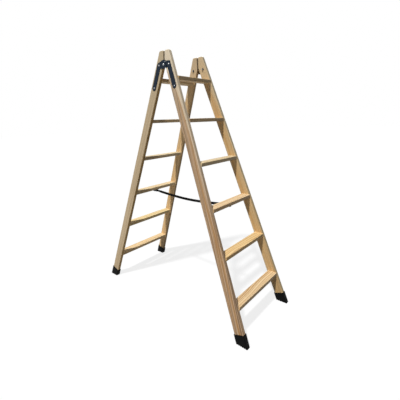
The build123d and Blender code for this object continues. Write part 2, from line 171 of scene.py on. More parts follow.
class Line:
    """A line of points with a frame that turns along it without twisting."""

    def __init__(self, points):
        self.points = points
        self.marks = [0.0]
        for before, after in zip(points, points[1:]):
            self.marks.append(self.marks[-1] + (after - before).length)
        self.length = self.marks[-1]
        ahead = (points[1] - points[0]).normalized()
        side = ahead.orthogonal().normalized()
        self.frames = []
        for index in range(len(points)):
            before = points[max(index - 1, 0)]
            after = points[min(index + 1, len(points) - 1)]
            turned = (after - before).normalized()
            side = (ahead.rotation_difference(turned) @ side).normalized()
            ahead = turned
            self.frames.append((ahead, side, ahead.cross(side)))
        self.index = 0

    def at(self, distance):
        """Spot at a distance along the line, and the three directions of its frame."""
        while self.index < len(self.points) - 2 and self.marks[self.index + 1] < distance:
            self.index += 1
        while self.index > 0 and self.marks[self.index] > distance:
            self.index -= 1
        span = self.marks[self.index + 1] - self.marks[self.index]
        share = (distance - self.marks[self.index]) / span
        spot = self.points[self.index].lerp(self.points[self.index + 1], share)
        first, second = self.frames[self.index], self.frames[self.index + 1]
        return spot, [a.lerp(b, share).normalized() for a, b in zip(first, second)]


def fullness(distance, length, swell):
    """How far the plait swells out, a little way from its ends, where nothing grips it."""
    share = (min(distance, length - distance) - GRIPPED_END) / SWELLING_LENGTH
    share = min(max(share, 0.0), 1.0)
    return 1 + swell * share * share * (3 - 2 * share)


def tube_faces(base, gaps, sides):
    """Faces of a tube of vertex rings: the sides, gap by gap between the rings, then the two ends."""
    faces = []
    for gap in range(gaps):
        low = base + gap * sides
        for corner in range(sides):
            nearby = (corner + 1) % sides
            faces.append((low + corner, low + nearby, low + sides + nearby, low + sides + corner))
    end = base + gaps * sides
    faces.append(tuple(base + corner for corner in reversed(range(sides))))
    faces.append(tuple(end + corner for corner in range(sides)))
    return faces


def strand_strips(gaps, sides):
    """Place of each side face of a strand on its unrolled skin. The ends have none."""
    strips = []
    for gap in range(gaps):
        low, high = gap / CROSSING_STEPS, (gap + 1) / CROSSING_STEPS
        for corner in range(sides):
            strips.append((low, corner / sides, high, (corner + 1) / sides))
    return strips + [None, None]


def add_strands(verts, faces, strips, line, radius, lay, sides, swell, part):
    """Flat strands that wind both ways round a line, over and under each other."""
    wave = STRAND_WAVE * radius
    half_thick = STRAND_HALF_THICK * radius
    middle = radius - wave - half_thick
    slope = math.atan2(2 * math.pi * middle, lay)
    half_wide = STRAND_HALF_WIDE * 2 * math.pi * middle / STRANDS * math.cos(slope)
    step = lay / (2 * STRANDS) / CROSSING_STEPS
    rings = max(int(line.length / step), FEWEST_STRAND_RINGS)
    first, last = (round(rings * share) for share in part)
    for way in (1, -1):
        for strand in range(STRANDS):
            base = len(verts)
            for index in range(first, last + 1):
                distance = line.length * index / rings
                spot, (ahead, side, other) = line.at(distance)
                angle = way * 2 * math.pi * distance / lay + 2 * math.pi * strand / STRANDS
                lift = way * wave * math.cos(math.pi * 2 * STRANDS * distance / lay)
                outward = side * math.cos(angle) + other * math.sin(angle)
                around = other * math.cos(angle) - side * math.sin(angle)
                across = around * math.cos(slope) - ahead * (way * math.sin(slope))
                centre = outward * (middle + lift)
                full = fullness(distance, line.length, swell)
                for corner in range(sides):
                    turn = 2 * math.pi * corner / sides
                    offset = across * (half_wide * math.cos(turn)) + outward * (half_thick * math.sin(turn))
                    verts.append(spot + full * (centre + offset))
            faces.extend(tube_faces(base, last - first, sides))
            strips.extend(strand_strips(last - first, sides))


def add_core(verts, faces, strips, line, radius, swell, part):
    """Round core that fills the rope under its strands."""
    base = len(verts)
    rings = max(int(line.length / CORE_STEP), FEWEST_CORE_RINGS)
    first, last = (round(rings * share) for share in part)
    for index in range(first, last + 1):
        distance = line.length * index / rings
        spot, (ahead, side, other) = line.at(distance)
        full = CORE_RADIUS * radius * fullness(distance, line.length, swell)
        for corner in range(CORE_SIDES):
            turn = 2 * math.pi * corner / CORE_SIDES
            verts.append(spot + side * (full * math.cos(turn)) + other * (full * math.sin(turn)))
    sides = tube_faces(base, last - first, CORE_SIDES)
    faces.extend(sides)
    strips.extend([None] * len(sides))


def braid(name, points, radius, lay, sides, swell=0.0, part=(0.0, 1.0)):
    """Plaited rope on part of a line, with its strands' skins unrolled on a UV map."""
    line = Line(points)
    verts, faces, strips = [], [], []
    add_strands(verts, faces, strips, line, radius, lay, sides, swell, part)
    add_core(verts, faces, strips, line, radius, swell, part)
    mesh = bpy.data.meshes.new(name)
    mesh.from_pydata(verts, [], faces)
    layer = mesh.uv_layers.new(name="strand")
    for polygon, strip in zip(mesh.polygons, strips):
        polygon.use_smooth = strip is not None
        if strip is None:
            continue
        low_u, low_v, high_u, high_v = strip
        corners = ((low_u, low_v), (low_u, high_v), (high_u, high_v), (high_u, low_v))
        for loop, corner in zip(polygon.loop_indices, corners):
            layer.data[loop].uv = corner
    mesh.update()
    rope = bpy.data.objects.new(name, mesh)
    scene.collection.objects.link(rope)
    return rope


def stopper_knot(name, end, way):
    """Three tight wraps on the rope's end, pressed up against the tread, and the short tail beyond them."""
    wraps = []
    for index in range(WRAPS_STEPS + 1):
        share = index / WRAPS_STEPS
        angle = 2 * math.pi * WRAPS * share + WRAPS_START
        tuck = min(1.0, TUCK_RATE * share, TUCK_RATE * (1 - share))
        reach = WRAP_INNER_REACH + WRAP_RISE * math.sin(0.5 * math.pi * tuck)
        along = WRAPS_OFFSET + share * WRAPS_LENGTH
        wraps.append(end + Vector((reach * math.cos(angle), way * along, reach * math.sin(angle))))
    knot = braid(name, wraps, WRAP_RADIUS, WRAP_LAY, KNOT_STRAND_SIDES)
    tail_line = [end + Vector((0, way * along, -TAIL_DROP)) for along in TAIL_PLACES]
    tail = braid(f"{name}_tail", tail_line, TAIL_RADIUS, ROPE_LAY, KNOT_STRAND_SIDES)
    bpy.ops.object.select_all(action="DESELECT")
    tail.select_set(True)
    knot.select_set(True)
    bpy.context.view_layer.objects.active = knot
    bpy.ops.object.join()
    for vertex in knot.data.vertices:
        rise = vertex.co.z - (KNOT_CEILING - PRESSED_DEPTH)
        if rise > 0:
            vertex.co.z = KNOT_CEILING - PRESSED_DEPTH / (1 + rise / PRESSED_DEPTH)
    knot.data.update()
    return knot


# Building blocks of the finishes

MIX_COLOURS = (6, 7)  # a Mix node's sockets for two colours
MIX_RESULT = 2


def opaque(tone):
    """Colour of a tone, with no see-through."""
    return (*tone, 1)


def add(tree, kind, **settings):
    """New node with its settings."""
    node = tree.nodes.new(kind)
    for name, value in settings.items():
        setattr(node, name, value)
    return node


def feed(tree, value, socket):
    """Set a socket, or link another socket to it."""
    if isinstance(value, bpy.types.NodeSocket):
        tree.links.new(value, socket)
    else:
        socket.default_value = value


def maths(tree, operation, *values):
    """Arithmetic with numbers."""
    node = add(tree, "ShaderNodeMath", operation=operation)
    for value, socket in zip(values, node.inputs):
        feed(tree, value, socket)
    return node.outputs[0]


def vectors(tree, operation, *values):
    """Arithmetic with vectors."""
    node = add(tree, "ShaderNodeVectorMath", operation=operation)
    for value, socket in zip(values, node.inputs):
        feed(tree, value, socket)
    return node.outputs["Value"] if operation == "LENGTH" else node.outputs["Vector"]


def scaled(tree, vector, factor):
    """Vector times a number."""
    node = add(tree, "ShaderNodeVectorMath", operation="SCALE")
    feed(tree, vector, node.inputs[0])
    feed(tree, factor, node.inputs["Scale"])
    return node.outputs["Vector"]


def axes(tree, vector):
    """The X, Y and Z of a vector."""
    node = add(tree, "ShaderNodeSeparateXYZ")
    feed(tree, vector, node.inputs[0])
    return node.outputs


def noise(tree, where, stretch, detail=2.0, roughness=0.5):
    """Noise in stretched coordinates."""
    node = add(tree, "ShaderNodeTexNoise")
    feed(tree, vectors(tree, "MULTIPLY", where, stretch), node.inputs["Vector"])
    node.inputs["Scale"].default_value = 1.0
    node.inputs["Detail"].default_value = detail
    node.inputs["Roughness"].default_value = roughness
    return node.outputs


def spread(tree, value, low, high, start=0.0, end=1.0):
    """Smooth step of a value from one range to another."""
    node = add(tree, "ShaderNodeMapRange", interpolation_type="SMOOTHSTEP")
    for socket, given in zip(node.inputs, (value, low, high, start, end)):
        feed(tree, given, socket)
    return node.outputs[0]


def near(tree, value, full, none):
    """Mask of small values, on both sides of zero: whole up to one limit and gone past the other."""
    return spread(tree, maths(tree, "ABSOLUTE", value), full, none, 1.0, 0.0)


def mix(tree, factor, first, second, blend="MIX"):
    """Two colours, mixed by a mask."""
    node = add(tree, "ShaderNodeMix", data_type="RGBA", blend_type=blend)
    feed(tree, factor, node.inputs[0])
    for colour, socket in zip((first, second), MIX_COLOURS):
        feed(tree, colour, node.inputs[socket])
    return node.outputs[MIX_RESULT]


def bump(tree, shader, height, strength, distance):
    """Fine relief on a surface."""
    node = add(tree, "ShaderNodeBump")
    node.inputs["Strength"].default_value = strength
    node.inputs["Distance"].default_value = distance
    feed(tree, height, node.inputs["Height"])
    feed(tree, node.outputs[0], shader.inputs["Normal"])


def new_group(name, inputs, outputs):
    """Empty node group with its sockets."""
    tree = bpy.data.node_groups.new(name, "ShaderNodeTree")
    for label, kind in inputs:
        tree.interface.new_socket(label, in_out="INPUT", socket_type=kind)
    for label, kind in outputs:
        tree.interface.new_socket(label, in_out="OUTPUT", socket_type=kind)
    return tree, add(tree, "NodeGroupInput").outputs, add(tree, "NodeGroupOutput").inputs


def use_group(tree, group, **inputs):
    """A group in a material, with the material's own values."""
    node = add(tree, "ShaderNodeGroup", node_tree=group)
    for label, value in inputs.items():
        feed(tree, value, node.inputs[label.replace("_", " ")])
    return node.outputs


def new_material(name):
    """New material, its nodes and its shader."""
    material = bpy.data.materials.new(name)
    material.use_nodes = True
    tree = material.node_tree
    return material, tree, tree.nodes["Principled BSDF"]


def own_place(tree):
    """Where a point is, in the ladder's own frame."""
    return add(tree, "ShaderNodeTexCoord").outputs["Object"]


def dress(names, material):
    """Give solids their finish."""
    for name in names:
        mesh = nodes[name].data
        mesh.materials.clear()
        mesh.materials.append(material)


# Sawn pine, with noise in cycles per metre along, across and through a board

SLOW_BENDS = (2.6, 7.0, 7.0)
SLOW_REACH = (0.0, 0.026, 0.026)
QUICK_BENDS = (9.0, 45.0, 45.0)
QUICK_REACH = (0.0, 0.0024, 0.0024)
NOISE_MIDDLE = (0.5, 0.5, 0.5)
ACROSS = (0.0, 1.0, 1.0)
YEARS_SCALE = 0.6  # good and poor years, per ring
YEARS_SHIFT = 2.4  # by which they move the rings
LATE_WOOD_RISE = (0.40, 0.82)  # in a ring that goes from 0 to 1
LATE_WOOD_FALL = (0.93, 1.0)
LATE_WOOD_LEAST = 0.5
STREAKS = (0.55, 75.0, 75.0)
STREAKS_RANGE = (0.3, 0.7)
VEINS = (1.6, 62.0, 62.0)
VEINS_RANGE = (0.54, 0.72)
FIBRES = (22.0, 900.0, 900.0)
CANALS = (70.0, 1500.0, 1500.0)
CANALS_RANGE = (0.68, 0.76)


def grain_group():
    """Sawn pine: growth rings about a pith, broad streaks, and fibres along the board."""
    tree, given, out = new_group(
        "sawn_grain",
        [("Board", "NodeSocketVector"), ("Pith", "NodeSocketVector"), ("Slope", "NodeSocketVector"),
         ("Ring Width", "NodeSocketFloat"), ("Seed", "NodeSocketVector")],
        [("Late Wood", "NodeSocketFloat"), ("Streak", "NodeSocketFloat"), ("Resin", "NodeSocketFloat"),
         ("Fibre", "NodeSocketFloat"), ("Canal", "NodeSocketFloat"), ("Wander", "NodeSocketVector")],
    )
    own = vectors(tree, "ADD", given["Board"], given["Seed"])
    slow = noise(tree, own, SLOW_BENDS, detail=1.5)["Color"]
    slow = vectors(tree, "MULTIPLY", vectors(tree, "SUBTRACT", slow, NOISE_MIDDLE), SLOW_REACH)
    quick = noise(tree, own, QUICK_BENDS, detail=2.0)["Color"]
    quick = vectors(tree, "MULTIPLY", vectors(tree, "SUBTRACT", quick, NOISE_MIDDLE), QUICK_REACH)
    wander = vectors(tree, "ADD", slow, quick)
    feed(tree, wander, out["Wander"])
    bent = vectors(tree, "ADD", given["Board"], wander)
    drift = scaled(tree, given["Slope"], axes(tree, given["Board"])["X"])
    heart = vectors(tree, "ADD", given["Pith"], drift)
    away = vectors(tree, "MULTIPLY", vectors(tree, "SUBTRACT", bent, heart), ACROSS)
    rings = maths(tree, "DIVIDE", vectors(tree, "LENGTH", away), given["Ring Width"])
    years = add(tree, "ShaderNodeTexNoise", noise_dimensions="1D")
    feed(tree, rings, years.inputs["W"])
    years.inputs["Scale"].default_value = YEARS_SCALE
    years.inputs["Detail"].default_value = 2.0
    rings = maths(tree, "MULTIPLY_ADD", years.outputs["Fac"], YEARS_SHIFT, rings)
    phase = maths(tree, "FRACT", rings)
    rise = spread(tree, phase, *LATE_WOOD_RISE)
    fall = spread(tree, phase, *LATE_WOOD_FALL, 1.0, 0.0)
    year = add(tree, "ShaderNodeTexWhiteNoise", noise_dimensions="1D")
    feed(tree, maths(tree, "FLOOR", rings), year.inputs["W"])
    strength = maths(tree, "MULTIPLY_ADD", year.outputs["Value"], 1 - LATE_WOOD_LEAST, LATE_WOOD_LEAST)
    feed(tree, maths(tree, "MULTIPLY", maths(tree, "MULTIPLY", rise, fall), strength), out["Late Wood"])
    broad = noise(tree, vectors(tree, "ADD", bent, given["Seed"]), STREAKS, detail=2.5, roughness=0.55)
    feed(tree, spread(tree, broad["Fac"], *STREAKS_RANGE), out["Streak"])
    vein = noise(tree, vectors(tree, "SUBTRACT", own, drift), VEINS, detail=2.0)
    feed(tree, spread(tree, vein["Fac"], *VEINS_RANGE), out["Resin"])
    fine = noise(tree, own, FIBRES, detail=3.0, roughness=0.6)
    feed(tree, fine["Fac"], out["Fibre"])
    dash = noise(tree, own, CANALS, detail=1.0)
    feed(tree, spread(tree, dash["Fac"], *CANALS_RANGE), out["Canal"])
    return tree


GRAIN = grain_group()

# Marks and painted shade on the boards, measured down a rail from the pivot, and across a board from its
# middle
SAP_BORDER = 0.022  # across, far down a rail
SAP_WIDENING = 0.067  # by which the sapwood reaches further in at the pivot
SAP_SOFTNESS = 0.002
SAP_STRIP_STRENGTH = 0.8
SAP_STRIP_FADE = 0.15
SAP_STRIP_END = (0.55, 1.05, 1.0, 0.15)  # down the rail, from whole to faint
SAP_HEAD_STRENGTH = 0.47
SAP_HEAD_FADE = 0.5
SAP_LINE = (0.0006, 0.0034)  # off the border
SAP_LINE_START = (0.12, 0.35)  # down the rail
HEART_STREAK = (0.003, 0.012)  # off the streak's middle
HEART_STREAK_EVEN = 0.4  # share of its strength that doesn't follow the broad streaks
# Across a board, where the painted edge shading begins and where it is whole
NARROW_EDGE = (0.0284, 0.0297)
# Painted shade: the gap where two rail heads meet, darkened on its upright faces and the edges beside them
MEETING_LINE = (0.003, 0.0085)  # off the ladder's middle plane
MEETING_PAINTED_SHADE = (0.27, 0.24, 0.21)

# Planed pine
FIBRE_SHADE = 0.30
FIBRE_SHADE_LEAST = 0.85
CANAL_SHADE = 0.35
PINE_ROUGHNESS = 0.62
LATE_WOOD_GLOSS = -0.12
FIBRE_ROUGHNESS = 0.12
PINE_SPECULAR = 0.35
LATE_WOOD_HEIGHT = 0.5
PINE_BUMP = (0.25, 0.0002)


def sap_side(tree, board, wander, fade):
    """Sapwood on a rail: a mask of its head and its outer strip, and one of the strip's border."""
    spot = axes(tree, vectors(tree, "ADD", board, wander))
    down = spot["X"]
    lessening = maths(tree, "EXPONENT", maths(tree, "MULTIPLY", down, -fade))
    border = maths(tree, "MULTIPLY_ADD", lessening, -SAP_WIDENING, SAP_BORDER)
    past = maths(tree, "SUBTRACT", spot["Y"], border)
    strength = maths(tree, "MULTIPLY", maths(tree, "POWER", lessening, SAP_STRIP_FADE), SAP_STRIP_STRENGTH)
    strength = maths(tree, "MULTIPLY", strength, spread(tree, down, *SAP_STRIP_END))
    strip = maths(tree, "MULTIPLY", strength, spread(tree, past, -SAP_SOFTNESS, SAP_SOFTNESS))
    head = maths(tree, "MULTIPLY", maths(tree, "POWER", lessening, SAP_HEAD_FADE), SAP_HEAD_STRENGTH)
    line = maths(tree, "MULTIPLY", near(tree, past, *SAP_LINE), spread(tree, down, *SAP_LINE_START))
    return maths(tree, "MAXIMUM", strip, head), maths(tree, "MULTIPLY", line, strength)


def heart_streak(tree, board, wander, middle):
    """Mask of a dark streak that wanders along a board's face."""
    spot = axes(tree, vectors(tree, "ADD", board, wander))
    return near(tree, maths(tree, "SUBTRACT", spot["Y"], middle), *HEART_STREAK)


def shaded_narrow_edge(tree, board, way):
    """Mask of one narrow edge of a board, where shade or bounce light is painted."""
    return spread(tree, maths(tree, "MULTIPLY", axes(tree, board)["Y"], way), *NARROW_EDGE)


def painted_meeting_shade(tree, where):
    """Mask of the painted shade in the gap along the upright faces where two rail heads meet."""
    return near(tree, axes(tree, where)["Y"], *MEETING_LINE)


def board_wood(name, turn, shift, cut, tones, sap=None, edge=None, streak=None):
    """Planed pine for one board, with its grain along the board."""
    pale, deep, late, resin = (opaque(tone) for tone in tones)
    material, tree, shader = new_material(name)
    where = own_place(tree)
    laid = add(tree, "ShaderNodeMapping")
    feed(tree, where, laid.inputs["Vector"])
    laid.inputs["Rotation"].default_value = turn
    laid.inputs["Location"].default_value = shift
    board = laid.outputs[0]
    grain = use_group(tree, GRAIN, Board=board, Pith=cut.pith, Slope=cut.slope, Ring_Width=cut.ring,
                      Seed=cut.seed)
    colour = mix(tree, grain["Streak"], pale, deep)
    colour = mix(tree, maths(tree, "MULTIPLY", grain["Resin"], cut.resin), colour, resin)
    colour = mix(tree, maths(tree, "MULTIPLY", grain["Late Wood"], cut.contrast), colour, late)
    if streak:
        middle, strength = streak
        even = HEART_STREAK_EVEN * strength
        broken = maths(tree, "MULTIPLY_ADD", grain["Streak"], strength - even, even)
        dark = maths(tree, "MULTIPLY", heart_streak(tree, board, grain["Wander"], middle), broken)
        colour = mix(tree, dark, colour, resin)
    if sap:
        tone, fade = sap
        pale_side, border = sap_side(tree, board, grain["Wander"], fade)
        colour = mix(tree, pale_side, colour, opaque(tone))
        colour = mix(tree, border, colour, resin)
        # Painted shade in the gap between the two rail heads
        colour = mix(tree, painted_meeting_shade(tree, where), colour, opaque(MEETING_PAINTED_SHADE), "MULTIPLY")
    # Painted shade on a narrow edge that faces away from the light, or the painted warm tint of bounce light
    # on it
    if edge:
        way, tone = edge
        colour = mix(tree, shaded_narrow_edge(tree, board, way), colour, opaque(tone), "MULTIPLY")
    fibre = maths(tree, "MULTIPLY_ADD", grain["Fibre"], FIBRE_SHADE, FIBRE_SHADE_LEAST)
    shade = add(tree, "ShaderNodeCombineColor")
    for socket in shade.inputs[:3]:
        feed(tree, fibre, socket)
    colour = mix(tree, 1.0, colour, shade.outputs[0], "MULTIPLY")
    colour = mix(tree, maths(tree, "MULTIPLY", grain["Canal"], CANAL_SHADE), colour, late)
    feed(tree, colour, shader.inputs["Base Color"])
    rough = maths(tree, "MULTIPLY_ADD", grain["Late Wood"], LATE_WOOD_GLOSS, PINE_ROUGHNESS)
    rough = maths(tree, "MULTIPLY_ADD", grain["Fibre"], FIBRE_ROUGHNESS, rough)
    feed(tree, rough, shader.inputs["Roughness"])
    shader.inputs["Specular IOR Level"].default_value = PINE_SPECULAR
    height = maths(tree, "MULTIPLY_ADD", grain["Late Wood"], LATE_WOOD_HEIGHT, grain["Fibre"])
    height = maths(tree, "SUBTRACT", height, grain["Canal"])
    bump(tree, shader, height, *PINE_BUMP)
    return material


# Boards: where each was sawn from the log, and its tones, which are pale, deep, late wood and resin

Cut = namedtuple("Cut", "pith slope ring seed contrast resin")
RAIL_CORNERS = {"front_left": (-1, -1), "front_right": (1, -1), "rear_left": (-1, 1), "rear_right": (1, 1)}
RAIL_CUTS = {
    "front_left": Cut((0, 0.14, -0.06), (0, -0.055, 0.01), 0.0100, (1.9, 0.6, 2.8), 0.95, 0.90),
    "front_right": Cut((0, 0.11, 0.07), (0, -0.05, 0.0), 0.0075, (7.9, 4.1, 2.2), 0.60, 0.40),
    "rear_left": Cut((0, -0.10, -0.09), (0, 0.02, 0.0), 0.0062, (11.3, 0.9, 5.0), 0.60, 0.10),
    "rear_right": Cut((0, 0.12, 0.07), (0, -0.04, 0.0), 0.0075, (5.2, 8.3, 1.1), 0.75, 0.45),
}
RAIL_TONES = {
    "front_left": ((0.585, 0.42, 0.28), (0.45, 0.295, 0.17), (0.125, 0.062, 0.027), (0.39, 0.19, 0.05)),
    "front_right": ((0.71, 0.515, 0.275), (0.62, 0.425, 0.21), (0.37, 0.215, 0.09), (0.58, 0.32, 0.105)),
    "rear_left": ((0.545, 0.436, 0.293), (0.473, 0.369, 0.24), (0.318, 0.225, 0.13), (0.48, 0.345, 0.192)),
    "rear_right": ((0.80, 0.58, 0.33), (0.71, 0.50, 0.265), (0.45, 0.28, 0.125), (0.68, 0.44, 0.19)),
}
RAIL_SAP = {  # tone, and how soon the sapwood narrows down the rail
    "front_left": ((0.835, 0.745, 0.585), 7.5),
    "front_right": ((0.66, 0.525, 0.345), 9.0),
    "rear_left": ((0.53, 0.44, 0.30), 9.0),
    "rear_right": ((0.56, 0.445, 0.305), 9.0),
}
# Painted light on one narrow edge of each rail: shade on the front rails' outer edges, which face away from
# the key, and the warm tint of bounce light on the rear-left rail's inner edge
RAIL_EDGE_SHADING = {  # which narrow edge, and its tint
    "front_left": (1, (0.88, 0.88, 0.88)),
    "front_right": (1, (0.75, 0.83, 0.93)),
    "rear_left": (-1, (1.0, 0.84, 0.52)),
    "rear_right": None,
}
RAIL_STREAKS = {  # middle of the dark streak across the rail, and its strength
    "front_left": (0.011, 1.0),
    "front_right": (-0.006, 0.5),
    "rear_left": None,
    "rear_right": (0.008, 0.4),
}
TREAD_PITH = ((0.04, 0.005), (0.05, 0.008))  # across and through: least, and more for each level
TREAD_TILT = 0.02
TREAD_RISE = 0.01
TREAD_SEED = (2.7, 1.3, 0.8)  # for each level
TREAD_RING = 0.0085
TREAD_CONTRAST = 0.85
TREAD_RESIN = 0.45
TREAD_TONES = {
    "front": ((0.82, 0.66, 0.41), (0.74, 0.56, 0.315), (0.38, 0.22, 0.10), (0.70, 0.44, 0.17)),
    "rear": ((0.84, 0.675, 0.415), (0.77, 0.585, 0.33), (0.42, 0.255, 0.12), (0.74, 0.48, 0.20)),
}
# Each board's own tone; on the lowest front tread it is also painted shade of the near rail, darkening the
# whole board
TREAD_TINTS = {  # from the lowest tread up
    "front": ((0.95, 0.92, 0.93), (1.0, 0.94, 0.81), (0.99, 0.97, 1.01), (0.94, 1.02, 1.14),
              (0.96, 0.97, 1.0), (0.94, 0.95, 0.97)),
    "rear": ((1.05, 1.05, 1.08), (1.0, 1.03, 0.96), (1.0, 1.05, 1.13), (0.97, 1.06, 1.23),
             (0.98, 1.04, 1.15), (0.98, 1.02, 1.08)),
}
# Painted shade on the front treads' front edges, which face away from the light
TREAD_EDGE_SHADING = {"front": (-1, (0.87, 0.87, 0.90)), "rear": None}
PIN_CUT = Cut((0, 0.3, 0.2), (0, 0, 0), 0.0016, (1.0, 2.0, 3.0), 0.75, 0.0)
PIN_TONES = ((0.54, 0.39, 0.23), (0.45, 0.31, 0.17), (0.32, 0.19, 0.09), (0.45, 0.27, 0.12))
NO_TURN = (0, 0, 0)
NO_SHIFT = (0, 0, 0)


def rail_turn(side, section):
    """Turn and shift that lay a rail along X, its width along Y and its thickness along Z."""
    along = Vector((side * math.sin(SPLAY), section * math.sin(LEAN) * math.cos(SPLAY),
                    -math.cos(LEAN) * math.cos(SPLAY)))
    out = Vector((0, section * math.cos(LEAN), math.sin(LEAN)))
    turn = Matrix((along, out, along.cross(out)))
    origin = turn @ Vector((side * RAIL_FACE, 0, PIVOT_HEIGHT))
    through = RAIL_HALF_THICK * (1 if (turn @ Vector((side, 0, 0))).z < 0 else -1)
    return turn.to_euler(), -origin - Vector((0, RAIL_MIDDLE, through))


def tread_cut(level, way):
    """Where a tread was sawn: further from the pith at each level, and turned over at every other one."""
    lift = 1 if (level + (way > 0)) % 2 else -1
    pith = (0, *(lift * (least + more * level) for least, more in TREAD_PITH))
    slope = (0, TREAD_TILT * (level % 2 * 2 - 1), TREAD_RISE)
    along, across, through = (step * level for step in TREAD_SEED)
    return Cut(pith, slope, TREAD_RING, (along, across + way, through), TREAD_CONTRAST, TREAD_RESIN)


def dress_wood():
    """Rails, treads and pins, each board with its own figure."""
    for name, corner in RAIL_CORNERS.items():
        turn, shift = rail_turn(*corner)
        wood = board_wood(f"{name}_rail_pine", turn, shift, RAIL_CUTS[name], RAIL_TONES[name],
                          RAIL_SAP[name], RAIL_EDGE_SHADING[name], RAIL_STREAKS[name])
        dress([f"{name}_rail"], wood)
    for section, way in (("front", -1), ("rear", 1)):
        for level in range(1, TREADS + 1):
            name = f"{section}_tread_{level}"
            low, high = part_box(name)
            middle = (low + high) / 2
            tint = TREAD_TINTS[section][level - 1]
            tones = [[part * share for part, share in zip(tone, tint)] for tone in TREAD_TONES[section]]
            wood = board_wood(f"{name}_pine", NO_TURN, -middle, tread_cut(level, way), tones,
                              edge=TREAD_EDGE_SHADING[section])
            dress([name], wood)
    pin = board_wood("pin_pine", NO_TURN, NO_SHIFT, PIN_CUT, PIN_TONES)
    dress(["front_tread_pins", "rear_tread_pins"], pin)


# Rubber, paint, zinc and rope

CLOUD_RANGE = (0.3, 0.7)
WORN_RANGE = (0.56, 0.74)
WORN_STRETCH = (2.3, 2.3, 2.3)
UNSTRETCHED = (1.0, 1.0, 1.0)
HAIR_STRETCH = (0.9, 46.0, 1.0)
LUMP_STRETCH = (2.0, 5.0, 1.0)
ROPE_DARK = (0.0012, 0.0012, 0.0013)
ROPE_PALE = (0.0050, 0.0050, 0.0053)
ROPE_ROUGHNESS = 0.55
ROPE_LUMP_ROUGHNESS = 0.25
ROPE_SPECULAR = 0.06
ROPE_BUMP = (0.5, 0.0003)

# Tones are dark, pale and scuffed. Roughness is the mask that it follows, by how much, and its least
Finish = namedtuple("Finish", "coarse fine tones scuff roughness bump")
SHOE_RUBBER = Finish(
    35.0, 1800.0,
    ((0.0026, 0.0026, 0.0028), (0.0048, 0.0047, 0.0049), (0.020, 0.0195, 0.019)),
    0.35, ("Scuff", 0.18, 0.58), (0.25, 0.0003),
)
SHOE_SPECULAR = 0.05
HINGE_PAINT = Finish(
    60.0, 900.0,
    ((0.0042, 0.0118, 0.0260), (0.0075, 0.0170, 0.0345), (0.026, 0.037, 0.055)),
    0.25, ("Mottle", 0.10, 0.40), (0.12, 0.0002),
)
HINGE_SPECULAR = 0.18
BRIGHT_ZINC = Finish(
    220.0, 3000.0,
    ((0.38, 0.39, 0.405), (0.48, 0.49, 0.50), (0.30, 0.305, 0.31)),
    1.0, ("Scuff", 0.15, 0.27), (0.08, 0.0001),
)
# Nuts and washers: a dull zinc, darker than the bolts' partly as painted shade on the nuts inside the rails
DULL_ZINC_AND_SHADE = BRIGHT_ZINC._replace(tones=((0.12, 0.118, 0.112), (0.18, 0.175, 0.168), (0.085, 0.08, 0.075)))


def speckle_group():
    """Mottling and fine grain for moulded rubber and painted or plated metal."""
    tree, given, out = new_group(
        "speckle",
        [("Place", "NodeSocketVector"), ("Coarse", "NodeSocketFloat"), ("Fine", "NodeSocketFloat")],
        [("Mottle", "NodeSocketFloat"), ("Grain", "NodeSocketFloat"), ("Scuff", "NodeSocketFloat")],
    )
    coarse = scaled(tree, given["Place"], given["Coarse"])
    fine = scaled(tree, given["Place"], given["Fine"])
    cloud = noise(tree, coarse, UNSTRETCHED, detail=3.0, roughness=0.6)
    dots = noise(tree, fine, UNSTRETCHED, detail=2.0, roughness=0.6)
    worn = noise(tree, coarse, WORN_STRETCH, detail=5.0, roughness=0.72)
    feed(tree, spread(tree, cloud["Fac"], *CLOUD_RANGE), out["Mottle"])
    feed(tree, dots["Fac"], out["Grain"])
    feed(tree, spread(tree, worn["Fac"], *WORN_RANGE), out["Scuff"])
    return tree


SPECKLE = speckle_group()


def speckled(name, finish):
    """Mottled finish with scuffs and a fine grain, and its shader."""
    dark, pale, worn = (opaque(tone) for tone in finish.tones)
    material, tree, shader = new_material(name)
    marks = use_group(tree, SPECKLE, Place=own_place(tree), Coarse=finish.coarse, Fine=finish.fine)
    colour = mix(tree, marks["Mottle"], dark, pale)
    colour = mix(tree, maths(tree, "MULTIPLY", marks["Scuff"], finish.scuff), colour, worn)
    feed(tree, colour, shader.inputs["Base Color"])
    mask, more, least = finish.roughness
    feed(tree, maths(tree, "MULTIPLY_ADD", marks[mask], more, least), shader.inputs["Roughness"])
    bump(tree, shader, marks["Grain"], *finish.bump)
    return material, shader


def shoe_rubber():
    """Matt black rubber of the shoes."""
    material, shader = speckled("shoe_rubber", SHOE_RUBBER)
    shader.inputs["Specular IOR Level"].default_value = SHOE_SPECULAR
    return material


def hinge_paint():
    """Satin dark blue paint of the hinge plates and the rope clips."""
    material, shader = speckled("hinge_paint", HINGE_PAINT)
    shader.inputs["Specular IOR Level"].default_value = HINGE_SPECULAR
    return material


def zinc(name, finish):
    """Zinc plating of the fasteners."""
    material, shader = speckled(name, finish)
    shader.inputs["Metallic"].default_value = 1.0
    return material


def rope_fibre():
    """Black fibre of the rope, with hairs along its strands."""
    material, tree, shader = new_material("rope_fibre")
    strand = add(tree, "ShaderNodeUVMap", uv_map="strand").outputs[0]
    hair = noise(tree, strand, HAIR_STRETCH, detail=2.0, roughness=0.6)["Fac"]
    lumps = noise(tree, strand, LUMP_STRETCH, detail=2.0)["Fac"]
    feed(tree, mix(tree, hair, opaque(ROPE_DARK), opaque(ROPE_PALE)), shader.inputs["Base Color"])
    rough = maths(tree, "MULTIPLY_ADD", lumps, ROPE_LUMP_ROUGHNESS, ROPE_ROUGHNESS)
    feed(tree, rough, shader.inputs["Roughness"])
    shader.inputs["Specular IOR Level"].default_value = ROPE_SPECULAR
    bump(tree, shader, hair, *ROPE_BUMP)
    return material


